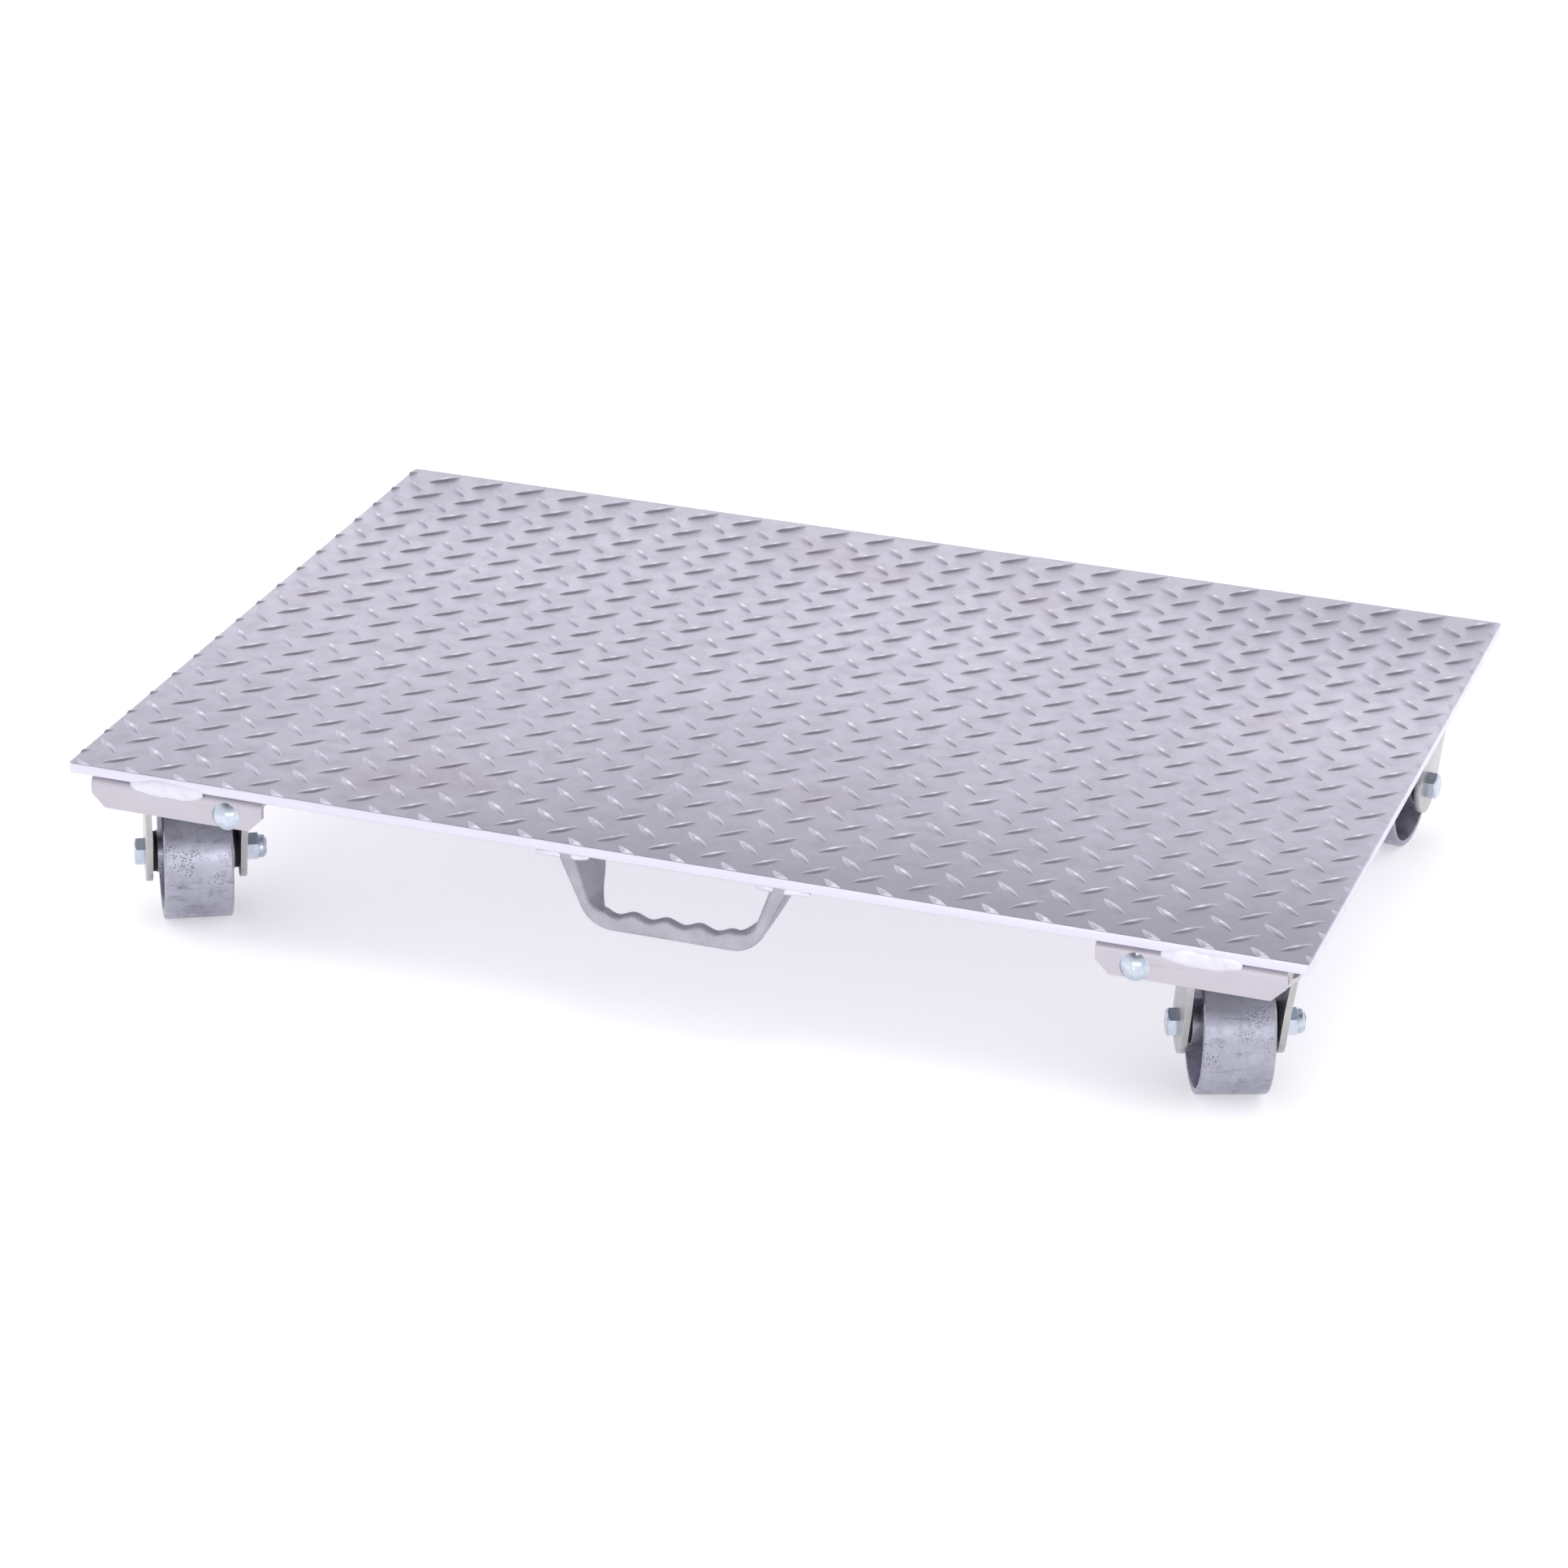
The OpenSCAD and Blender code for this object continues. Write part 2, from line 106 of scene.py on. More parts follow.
DECK_LOW, DECK_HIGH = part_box("deck_plate")
DECK_CORNER = 3 * MM
LUG_PITCH_X = 37.68 * MM
LUG_PITCH_Y = 38.6 * MM
LUG_DRIFT = 0.208 * MM
LUG_LENGTH = 31 * MM
LUG_WIDTH = 8 * MM
LUG_HEIGHT = 1.25 * MM
LUG_FLANK = 0.62   # share of the half width that slopes
LUG_CREST = 0.06   # how much the crest falls towards the flanks
LUG_PEAK = 0.08    # share of the height that only the middle has
LUG_SINK = 0.25 * MM
LUG_START_X = 32.9 * MM
LUG_START_Y = 18.0 * MM
CUT_INSET = 0.5 * MM
PLATE_ROUNDING = 0.5 * MM
PLATE_CHAMFER = 0.15 * MM


def deck_ring(inset, z):
    """The deck's rounded outline at one height."""
    r = DECK_CORNER - inset
    x0, y0 = DECK_LOW.x + DECK_CORNER, DECK_LOW.y + DECK_CORNER
    x1, y1 = DECK_HIGH.x - DECK_CORNER, DECK_HIGH.y - DECK_CORNER
    ring = []
    for cx, cy, start in ((x1, y1, 0), (x0, y1, 90), (x0, y0, 180), (x1, y0, 270)):
        ring += [(x, y, z) for x, y in arc(cx, cy, r, start, start + 90, 8)]
    return ring


def lug(cx, cy, angle):
    """Vertices and faces of one pointed lug: sloping flanks, a soft crest, a small middle peak."""
    half_length = LUG_LENGTH / 2 * random.uniform(0.98, 1.02)
    half_width = LUG_WIDTH / 2 * random.uniform(0.96, 1.04)
    height = LUG_HEIGHT * random.uniform(0.93, 1.05)
    stations = [-0.9, -0.74, -0.52, -0.26, 0.0, 0.26, 0.52, 0.74, 0.9]
    across = [-1.0, -0.82, -0.62, -0.4, -0.2, 0.0, 0.2, 0.4, 0.62, 0.82, 1.0]
    ca, sa = math.cos(angle), math.sin(angle)
    base = DECK_HIGH.z - LUG_SINK

    def place(u, v, h):
        x, y = u * half_length, v * half_width
        return (cx + x * ca - y * sa, cy + x * sa + y * ca, base + h)

    verts = [place(-1, 0, 0)]
    for u in stations:
        plan = 1 - abs(u) ** 1.7
        rise = (1 - LUG_PEAK) * min(1.0, 1.25 * (1 - abs(u) ** 2.2))
        if u == 0:
            rise += LUG_PEAK
        for v in across:
            side = min(1.0, (1 - abs(v)) / LUG_FLANK) * (1 - LUG_CREST * abs(v))
            verts.append(place(u, v * plan, (height + LUG_SINK) * rise * side))
    verts.append(place(1, 0, 0))
    n = len(across)
    last = len(verts) - 1
    faces = []
    for k in range(n - 1):
        faces.append((0, 1 + k + 1, 1 + k))
    for i in range(len(stations) - 1):
        a, b = 1 + i * n, 1 + (i + 1) * n
        for k in range(n - 1):
            faces.append((a + k, a + k + 1, b + k + 1, b + k))
    a = 1 + (len(stations) - 1) * n
    for k in range(n - 1):
        faces.append((a + k, a + k + 1, last))
    rim_low = [1 + i * n for i in range(len(stations))]
    rim_high = [1 + i * n + n - 1 for i in range(len(stations))]
    faces.append(tuple([0] + rim_low + [last] + rim_high[::-1]))
    return verts, faces


def clip_lugs(obj):
    """Cuts the lugs off in line with the deck's edges, as a sheared plate has them."""
    bm = bmesh.new()
    bm.from_mesh(obj.data)
    cuts = (
        ((DECK_LOW.x + CUT_INSET, 0, 0), (-1, 0, 0)),
        ((DECK_HIGH.x - CUT_INSET, 0, 0), (1, 0, 0)),
        ((0, DECK_LOW.y + CUT_INSET, 0), (0, -1, 0)),
        ((0, DECK_HIGH.y - CUT_INSET, 0), (0, 1, 0)),
    )
    for point, normal in cuts:
        geom = bm.verts[:] + bm.edges[:] + bm.faces[:]
        bmesh.ops.bisect_plane(
            bm, geom=geom, dist=1e-7, plane_co=point, plane_no=normal, clear_outer=True
        )
        rim = [e for e in bm.edges if e.is_boundary]
        bmesh.ops.holes_fill(bm, edges=rim)
    bm.normal_update()
    bm.to_mesh(obj.data)
    bm.free()


def build_deck():
    verts, faces = [], []
    rings = [
        deck_ring(PLATE_ROUNDING, DECK_LOW.z),
        deck_ring(PLATE_CHAMFER, DECK_LOW.z + PLATE_CHAMFER),
        deck_ring(0, DECK_LOW.z + PLATE_ROUNDING),
        deck_ring(0, DECK_HIGH.z - PLATE_ROUNDING),
        deck_ring(PLATE_CHAMFER, DECK_HIGH.z - PLATE_CHAMFER),
        deck_ring(PLATE_ROUNDING, DECK_HIGH.z),
    ]
    add_loft(verts, faces, rings)
    plate = new_object("tread_plate_body", verts, faces, 50)

    verts, faces = [], []
    columns = int((DECK_HIGH.x - DECK_LOW.x) / LUG_PITCH_X) + 3
    rows = int((DECK_HIGH.y - DECK_LOW.y) / LUG_PITCH_Y) + 3
    reach = LUG_LENGTH / 2
    for shift, angle in ((0.0, math.radians(45)), (0.5, math.radians(-45))):
        for i in range(-1, columns):
            for j in range(-1, rows):
                x = DECK_LOW.x + LUG_START_X + (i + shift) * LUG_PITCH_X
                y = DECK_LOW.y + LUG_START_Y + (j + shift) * LUG_PITCH_Y
                y += (i + shift) * LUG_DRIFT
                v, f = lug(x, y, angle)
                if x < DECK_LOW.x - reach or x > DECK_HIGH.x + reach:
                    continue
                if y < DECK_LOW.y - reach or y > DECK_HIGH.y:
                    continue
                first = len(verts)
                verts.extend(v)
                faces.extend(tuple(first + k for k in face) for face in f)
    lugs = new_object("tread_lugs", verts, faces)
    clip_lugs(lugs)
    for p in lugs.data.polygons:
        p.use_smooth = True
    lugs.data.set_sharp_from_angle(angle=math.radians(60))
    for obj in (plate, lugs):
        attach(obj, "frame")
    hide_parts("deck_plate")
    return plate, lugs


# ---- Handle: one cast piece, wavy grip and deep legs -----------------------------------

HANDLE_LOW, HANDLE_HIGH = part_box("handle")
HANDLE_X = (HANDLE_LOW.x + HANDLE_HIGH.x) / 2
GRIP_DEPTH = 10 * MM
GRIP_HEIGHT = 15 * MM
FINGER_PITCH = 24.5 * MM
FINGER_SHIFT = -4.5 * MM
CREST = 1.8 * MM
OUTER_SLOPE = 25
OUTER_R = 26 * MM
INNER_SLOPE = 19
INNER_R = 12 * MM
LEG_WIDTH = 13 * MM
HANDLE_ROUNDING = 3.2 * MM
LEG_SINK = 0.4 * MM
WAVE_END = 0.93   # where the finger wave fades out, as a share of the straight grip


def handle_stations(side):
    """Pairs (outer point, inner point) in X and Z, from the grip's middle up one leg."""
    drop = HANDLE_HIGH.z - HANDLE_LOW.z
    half = (HANDLE_HIGH.x - HANDLE_LOW.x) / 2
    outer_corner = half - drop * math.tan(math.radians(OUTER_SLOPE))
    outer_t = OUTER_R * math.tan(math.radians((90 - OUTER_SLOPE) / 2))
    outer_c = (outer_corner - outer_t, -drop + OUTER_R)
    rise = drop - GRIP_HEIGHT
    inner_top = half - LEG_WIDTH
    inner_corner = inner_top - rise * math.tan(math.radians(INNER_SLOPE))
    inner_t = INNER_R * math.tan(math.radians((90 - INNER_SLOPE) / 2))
    inner_c = (inner_corner - inner_t, -rise + INNER_R)
    pairs = []
    steps = 40
    for i in range(steps):
        s = i / steps
        xo, xi = outer_c[0] * s, inner_c[0] * s
        wave = CREST * (math.cos(2 * math.pi * (side * xi - FINGER_SHIFT) / FINGER_PITCH) - 1)
        wave *= 1 - smoothstep((s - WAVE_END) / (1 - WAVE_END))
        pairs.append(((xo, -drop), (xi, -rise + wave)))
    steps = 16
    outer = arc(outer_c[0], outer_c[1], OUTER_R, -90, -OUTER_SLOPE, steps)
    inner = arc(inner_c[0], inner_c[1], INNER_R, -90, -INNER_SLOPE, steps)
    pairs += list(zip(outer, inner))
    steps = 14
    o, n = outer[-1], inner[-1]
    for i in range(1, steps + 1):
        s = i / steps
        pairs.append((
            (o[0] + (half - o[0]) * s, o[1] + (LEG_SINK - o[1]) * s),
            (n[0] + (inner_top - n[0]) * s, n[1] + (LEG_SINK - n[1]) * s),
        ))
    return pairs


def handle_depth(z):
    """How deep the handle is in Y at one height below the deck."""
    drop = HANDLE_HIGH.z - HANDLE_LOW.z
    rise = drop - GRIP_HEIGHT
    reach = HANDLE_HIGH.y - HANDLE_LOW.y - GRIP_DEPTH
    if z <= -rise:
        return GRIP_DEPTH
    return GRIP_DEPTH + reach * math.sqrt(max(0.0, 1 - (z / rise) ** 2))


def handle_ring(outer, inner, side):
    """A rounded rectangle between the outer and the inner point, as deep as its height asks."""
    mid = ((outer[0] + inner[0]) / 2, (outer[1] + inner[1]) / 2)
    half = math.dist(outer, inner) / 2
    ux, uz = (outer[0] - mid[0]) / half, (outer[1] - mid[1]) / half
    r = min(HANDLE_ROUNDING, half * 0.75)
    ring = []
    for quarter in range(4):
        for step in range(6):
            a = math.radians(90 * quarter + 90 * step / 5)
            along = math.copysign(half - r, 1 if quarter in (0, 3) else -1) + r * math.cos(a)
            x = mid[0] + ux * along
            z = mid[1] + uz * along
            deep = handle_depth(z)
            if quarter in (0, 1):
                y = deep - r + r * math.sin(a)
            else:
                y = r + r * math.sin(a)
            ring.append((HANDLE_X + side * x, HANDLE_LOW.y + y, HANDLE_HIGH.z + z))
    return ring


def build_handle():
    rings = [handle_ring(o, n, 1) for o, n in reversed(handle_stations(1))]
    rings += [handle_ring(o, n, -1) for o, n in handle_stations(-1)[1:]]
    verts, faces = [], []
    add_loft(verts, faces, rings)
    handle = new_object("pull_handle", verts, faces, 70)
    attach(handle, "frame")
    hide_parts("handle")
    return handle


# ---- Weld beads ------------------------------------------------------------------------

BEAD_LENGTH = 57 * MM
BEAD_INSET = 31 * MM
BEAD_HEIGHT = 13 * MM
BEAD_BULGE = 1.5 * MM
BEAD_RIPPLE = 2.6 * MM
BEAD_STEP = 0.45 * MM
BEAD_BLUNT = 0.12      # height of a bead's ends, as a share of its full height
BEAD_DRIFT = 0.35 * MM
BEAD_SINK = 0.15 * MM
BEAD_END_SINK = 0.3 * MM
BEAD_ROOT = 1.6 * MM
BEAD_ROOT_HALF = 0.36  # half height of the root, as a share of the bead's height
BEAD_POINTS = 12
RIPPLE_HEIGHT = 0.045 * MM
RIPPLE_BOW = 0.45
HANDLE_BEAD_REACH = 20 * MM
HANDLE_BEAD_HEIGHT = 6 * MM
HANDLE_BEAD_BULGE = 1.2 * MM
HANDLE_BEAD_RIPPLE = 2.1 * MM
HANDLE_BEAD_OUTWARD = 2 * MM
HANDLE_BEAD_SET_BACK = 1.2 * MM
HANDLE_BEAD_DROP = 1.6 * MM


def bead_rings(start, end, face_y, out, z_mid, height, bulge, ripple_pitch):
    """Rings of a rippled bead along X on a face whose outside is towards out (+1 or -1) in Y."""
    length = end - start
    steps = int(length / BEAD_STEP)
    phase = random.uniform(0, 6)
    rings = []
    for i in range(steps + 1):
        s = i / steps
        x = start + length * s
        tip = math.sqrt(max(0.0, 1 - abs(2 * s - 1) ** 2.2))
        tall = height * (BEAD_BLUNT + (1 - BEAD_BLUNT) * tip)
        tall *= 1 + 0.05 * math.sin(phase + 5.1 * s * math.pi)
        drift = BEAD_DRIFT * math.sin(2 * phase + 3.3 * s * math.pi)
        ring = []
        for k in range(BEAD_POINTS + 1):
            v = -1 + 2 * k / BEAD_POINTS
            wave = math.sin(2 * math.pi * (x / ripple_pitch - RIPPLE_BOW * v * v) + phase)
            skin = bulge * tip * (1 - abs(v) ** 2.4) + RIPPLE_HEIGHT * tip * wave * (1 - v * v)
            y = face_y + out * (skin - BEAD_END_SINK * (1 - tip) - BEAD_SINK)
            ring.append((x, y, z_mid + drift + v * tall / 2))
        inside = face_y - out * BEAD_ROOT
        ring.append((x, inside, z_mid + drift + tall * BEAD_ROOT_HALF))
        ring.append((x, inside, z_mid + drift - tall * BEAD_ROOT_HALF))
        if out > 0:
            ring = ring[::-1]
        rings.append(ring)
    return rings


def build_welds():
    """The beads that join brackets and deck, and the ones at the handle's legs."""
    verts, faces = [], []
    low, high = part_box("weld_beads")
    for corner in CORNERS:
        b_low, b_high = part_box(f"bracket_{corner}")
        out = -1 if corner[0] == "f" else 1
        face_y = b_low.y if out < 0 else b_high.y
        left_start = b_low.x + BEAD_INSET
        right_start = b_high.x - BEAD_INSET - BEAD_LENGTH
        start = left_start if corner[1] == "l" else right_start
        rings = bead_rings(
            start, start + BEAD_LENGTH, face_y, out,
            (low.z + high.z) / 2, BEAD_HEIGHT, BEAD_BULGE, BEAD_RIPPLE,
        )
        add_loft(verts, faces, rings)
    beads = new_object("bracket_welds", verts, faces, 75)
    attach(beads, "frame")
    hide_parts("weld_beads")

    verts, faces = [], []
    half = (HANDLE_HIGH.x - HANDLE_LOW.x) / 2
    for side in (-1, 1):
        centre = HANDLE_X + side * (half - LEG_WIDTH / 2 + HANDLE_BEAD_OUTWARD)
        rings = bead_rings(
            centre - HANDLE_BEAD_REACH, centre + HANDLE_BEAD_REACH,
            HANDLE_LOW.y + HANDLE_BEAD_SET_BACK, -1, HANDLE_HIGH.z - HANDLE_BEAD_DROP,
            HANDLE_BEAD_HEIGHT, HANDLE_BEAD_BULGE, HANDLE_BEAD_RIPPLE,
        )
        add_loft(verts, faces, rings)
    handle_welds = new_object("handle_welds", verts, faces, 75)
    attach(handle_welds, "frame")
    return beads, handle_welds


# ---- Materials -------------------------------------------------------------------------

class Shader:
    """A principled material with short calls for the node chains used below."""

    def __init__(self, name):
        self.material = bpy.data.materials.new(name)
        self.material.use_nodes = True
        self.tree = self.material.node_tree
        self.tree.nodes.clear()
        out = self.node("ShaderNodeOutputMaterial")
        self.bsdf = self.node("ShaderNodeBsdfPrincipled")
        self.link(self.bsdf.outputs["BSDF"], out.inputs["Surface"])
        self.coords = self.node("ShaderNodeTexCoord").outputs["Object"]

    def node(self, kind, **values):
        n = self.tree.nodes.new(kind)
        for key, value in values.items():
            setattr(n, key, value)
        return n

    def link(self, a, b):
        self.tree.links.new(a, b)

    def feed(self, socket, value):
        if hasattr(value, "links"):
            self.link(value, socket)
        else:
            socket.default_value = value

    def set(self, name, value):
        self.feed(self.bsdf.inputs[name], value)

    def stretch(self, scale, turn=0.0):
        n = self.node("ShaderNodeMapping")
        self.link(self.coords, n.inputs["Vector"])
        n.inputs["Scale"].default_value = scale
        n.inputs["Rotation"].default_value = (0, 0, turn)
        return n.outputs["Vector"]

    def noise(self, scale, detail=4.0, rough=0.55, vector=None):
        n = self.node("ShaderNodeTexNoise")
        self.link(vector if vector is not None else self.coords, n.inputs["Vector"])
        n.inputs["Scale"].default_value = scale
        n.inputs["Detail"].default_value = detail
        n.inputs["Roughness"].default_value = rough
        return n.outputs["Fac"]

    def cells(self, scale):
        n = self.node("ShaderNodeTexVoronoi")
        self.link(self.coords, n.inputs["Vector"])
        n.inputs["Scale"].default_value = scale
        return n.outputs["Distance"]

    def between(self, value, low, high, to_low=0.0, to_high=1.0):
        n = self.node("ShaderNodeMapRange", interpolation_type="SMOOTHSTEP")
        self.feed(n.inputs["Value"], value)
        n.inputs["From Min"].default_value = low
        n.inputs["From Max"].default_value = high
        n.inputs["To Min"].default_value = to_low
        n.inputs["To Max"].default_value = to_high
        return n.outputs["Result"]

    def math(self, kind, a, b=0.0):
        n = self.node("ShaderNodeMath", operation=kind)
        self.feed(n.inputs[0], a)
        self.feed(n.inputs[1], b)
        return n.outputs[0]

    def mix(self, factor, a, b):
        n = self.node("ShaderNodeMix", data_type="RGBA")
        self.feed(n.inputs["Factor"], factor)
        self.feed(n.inputs[6], a if hasattr(a, "links") else (*a, 1.0))
        self.feed(n.inputs[7], b if hasattr(b, "links") else (*b, 1.0))
        return n.outputs[2]

    def bump(self, height, distance, strength=1.0, normal=None):
        n = self.node("ShaderNodeBump")
        self.link(height, n.inputs["Height"])
        n.inputs["Distance"].default_value = distance
        n.inputs["Strength"].default_value = strength
        if normal is not None:
            self.link(normal, n.inputs["Normal"])
        return n.outputs["Normal"]

    def edges(self, radius, low=0.02, high=0.25):
        """1 near a sharp edge, 0 on a flat face."""
        bevel = self.node("ShaderNodeBevel", samples=6)
        bevel.inputs["Radius"].default_value = radius
        geometry = self.node("ShaderNodeNewGeometry")
        dot = self.node("ShaderNodeVectorMath", operation="DOT_PRODUCT")
        self.link(bevel.outputs["Normal"], dot.inputs[0])
        self.link(geometry.outputs["Normal"], dot.inputs[1])
        return self.between(self.math("SUBTRACT", 1.0, dot.outputs["Value"]), low, high)


def tread_plate():
    s = Shader("tread_plate")
    s.set("Metallic", 0.9)
    cloud = s.noise(5.0, 3.0)
    mottled = s.noise(60.0, 5.0, 0.6)
    rolled = s.noise(1.0, 5.0, 0.65, s.stretch((9, 420, 9)))
    color = s.mix(s.between(cloud, 0.3, 0.7), (0.545, 0.525, 0.61), (0.595, 0.575, 0.66))
    color = s.mix(s.math("MULTIPLY", s.between(mottled, 0.45, 0.75), 0.35), color, (0.50, 0.475, 0.535))
    color = s.mix(s.math("MULTIPLY", s.between(rolled, 0.4, 0.8), 0.25), color, (0.52, 0.50, 0.57))
    scratch = s.noise(1.0, 2.0, 0.5, s.stretch((700, 16, 30), 0.7))
    scratch = s.between(scratch, 0.70, 0.76)
    specks = s.between(s.noise(420.0, 2.0), 0.74, 0.80)
    color = s.mix(s.math("MULTIPLY", specks, 0.45), color, (0.36, 0.34, 0.35))
    color = s.mix(s.math("MULTIPLY", scratch, 0.35), color, (0.80, 0.79, 0.83))
    smudge = s.math("MULTIPLY", s.between(s.noise(6.5, 4.0, 0.6), 0.57, 0.70), 0.35)
    color = s.mix(smudge, color, (0.50, 0.43, 0.465))
    place = s.node("ShaderNodeSeparateXYZ")
    s.link(s.coords, place.inputs[0])
    above = s.math("SUBTRACT", place.outputs["Z"], DECK_HIGH.z)
    # Lug crests painted lighter and glossier: partly wear on the tops, partly a painted glint where the
    # crest catches the light
    worn = s.between(above, 0.88 * LUG_HEIGHT, 1.02 * LUG_HEIGHT)
    color = s.mix(s.math("MULTIPLY", worn, 0.7), color, (0.86, 0.85, 0.90))
    normal = s.node("ShaderNodeSeparateXYZ")
    s.link(s.node("ShaderNodeNewGeometry").outputs["True Normal"], normal.inputs[0])
    sheared = s.between(s.math("ABSOLUTE", normal.outputs["Z"]), 0.45, 0.15)
    plate_only = s.between(above, 0.3 * MM, 0.05 * MM)
    color = s.mix(s.math("MULTIPLY", sheared, plate_only), color, (0.62, 0.61, 0.69))
    # Painted highlight: the plate's sharp edges are painted near white, a bright line along the edges
    rim = s.math("MULTIPLY", s.edges(0.7 * MM, 0.05, 0.3), plate_only)
    color = s.mix(s.math("MULTIPLY", rim, 0.8), color, (0.92, 0.91, 0.96))
    s.set("Base Color", color)
    rough = s.between(mottled, 0.3, 0.75, 0.30, 0.42)
    s.set("Roughness", s.math("SUBTRACT", rough, s.math("MULTIPLY", worn, 0.14)))
    grain = s.bump(rolled, 0.05 * MM, 0.5)
    grain = s.bump(s.noise(260.0, 4.0), 0.10 * MM, 0.6, grain)
    s.set("Normal", s.bump(s.noise(28.0, 2.0), 0.5 * MM, 0.35, grain))
    return s.material


def cast_aluminium():
    s = Shader("cast_aluminium")
    s.set("Metallic", 0.75)
    patch = s.noise(45.0, 4.0)
    grit = s.noise(1500.0, 3.0, 0.7)
    color = s.mix(s.between(patch, 0.3, 0.7), (0.37, 0.36, 0.415), (0.45, 0.44, 0.495))
    color = s.mix(s.math("MULTIPLY", s.between(grit, 0.50, 0.64), 0.7), color, (0.27, 0.26, 0.28))
    worn = s.edges(1.5 * MM, 0.01, 0.2)
    color = s.mix(s.math("MULTIPLY", worn, 0.5), color, (0.66, 0.65, 0.68))
    s.set("Base Color", color)
    s.set("Roughness", s.between(grit, 0.3, 0.8, 0.48, 0.68))
    coarse = s.bump(s.noise(190.0, 4.0), 0.30 * MM, 0.6)
    s.set("Normal", s.bump(grit, 0.22 * MM, 1.0, coarse))
    return s.material


def bracket_sheet():
    s = Shader("bracket_sheet")
    s.set("Metallic", 0.8)
    cloud = s.noise(22.0, 4.0)
    drawn = s.noise(1.0, 5.0, 0.6, s.stretch((14, 14, 520)))
    color = s.mix(s.between(cloud, 0.3, 0.7), (0.455, 0.43, 0.475), (0.51, 0.485, 0.53))
    color = s.mix(s.math("MULTIPLY", s.between(drawn, 0.4, 0.8), 0.25), color, (0.46, 0.44, 0.465))
    # Painted highlight: the sharp edges are painted light grey, a bright line along the edges
    s.set("Base Color", s.mix(s.edges(0.8 * MM), color, (0.82, 0.81, 0.83)))
    s.set("Roughness", s.between(cloud, 0.3, 0.7, 0.36, 0.50))
    grain = s.bump(drawn, 0.03 * MM, 0.6)
    s.set("Normal", s.bump(s.noise(35.0, 2.0), 0.4 * MM, 0.3, grain))
    return s.material


def weld_metal():
    s = Shader("weld_metal")
    s.set("Metallic", 0.85)
    cloud = s.noise(90.0, 4.0)
    brushed = s.noise(1.0, 4.0, 0.6, s.stretch((30, 30, 500)))
    color = s.mix(s.between(cloud, 0.35, 0.7), (0.66, 0.65, 0.73), (0.60, 0.585, 0.645))
    soot = s.between(s.noise(30.0, 3.0), 0.58, 0.75)
    s.set("Base Color", s.mix(s.math("MULTIPLY", soot, 0.15), color, (0.46, 0.45, 0.49)))
    s.set("Roughness", s.between(cloud, 0.3, 0.7, 0.32, 0.46))
    s.set("Normal", s.bump(brushed, 0.06 * MM, 0.5))
    return s.material


def zinc_bolt():
    s = Shader("zinc_bolt")
    s.set("Metallic", 1.0)
    cloud = s.noise(130.0, 3.0)
    color = s.mix(s.between(cloud, 0.3, 0.7), (0.45, 0.50, 0.575), (0.55, 0.60, 0.675))
    dull = s.between(s.noise(300.0, 3.0), 0.6, 0.78)
    color = s.mix(s.math("MULTIPLY", dull, 0.2), color, (0.46, 0.52, 0.56))
    s.set("Base Color", s.mix(s.edges(0.5 * MM), color, (0.80, 0.83, 0.87)))
    s.set("Roughness", s.between(cloud, 0.3, 0.7, 0.14, 0.22))
    s.set("Normal", s.bump(s.noise(420.0, 3.0), 0.03 * MM, 0.4))
    return s.material


def caster_steel():
    s = Shader("caster_steel")
    s.set("Metallic", 0.8)
    cloud = s.noise(40.0, 4.0)
    spangle = s.noise(330.0, 3.0)
    color = s.mix(s.between(cloud, 0.3, 0.7), (0.46, 0.455, 0.465), (0.55, 0.545, 0.55))
    color = s.mix(s.math("MULTIPLY", s.between(spangle, 0.5, 0.7), 0.3), color, (0.44, 0.44, 0.45))
    s.set("Base Color", s.mix(s.edges(1.2 * MM), color, (0.68, 0.64, 0.50)))
    s.set("Roughness", s.between(spangle, 0.3, 0.7, 0.34, 0.48))
    s.set("Normal", s.bump(spangle, 0.06 * MM, 0.6))
    return s.material


def race_steel():
    s = Shader("race_steel")
    s.set("Metallic", 0.9)
    film = s.noise(70.0, 4.0)
    color = s.mix(s.between(film, 0.3, 0.7), (0.26, 0.25, 0.24), (0.40, 0.39, 0.37))
    s.set("Base Color", s.mix(s.edges(0.8 * MM), color, (0.58, 0.56, 0.50)))
    s.set("Roughness", s.between(film, 0.3, 0.7, 0.30, 0.50))
    s.set("Normal", s.bump(s.noise(300.0, 3.0), 0.08 * MM, 0.5))
    return s.material


def bare_steel():
    s = Shader("bare_steel")
    s.set("Metallic", 0.85)
    scale = s.noise(55.0, 5.0, 0.6)
    color = s.mix(s.between(scale, 0.35, 0.65), (0.50, 0.49, 0.50), (0.34, 0.33, 0.33))
    s.set("Base Color", s.mix(s.edges(0.8 * MM), color, (0.66, 0.65, 0.65)))
    s.set("Roughness", s.between(scale, 0.3, 0.7, 0.40, 0.60))
    s.set("Normal", s.bump(s.noise(240.0, 4.0), 0.12 * MM, 0.6))
    return s.material


def seal_black():
    s = Shader("seal_black")
    dust = s.noise(210.0, 4.0)
    color = s.mix(s.between(dust, 0.5, 0.8), (0.012, 0.012, 0.015), (0.05, 0.05, 0.052))
    s.set("Base Color", color)
    s.set("Roughness", s.between(dust, 0.3, 0.7, 0.55, 0.75))
    s.set("Normal", s.bump(dust, 0.06 * MM, 0.6))
    return s.material


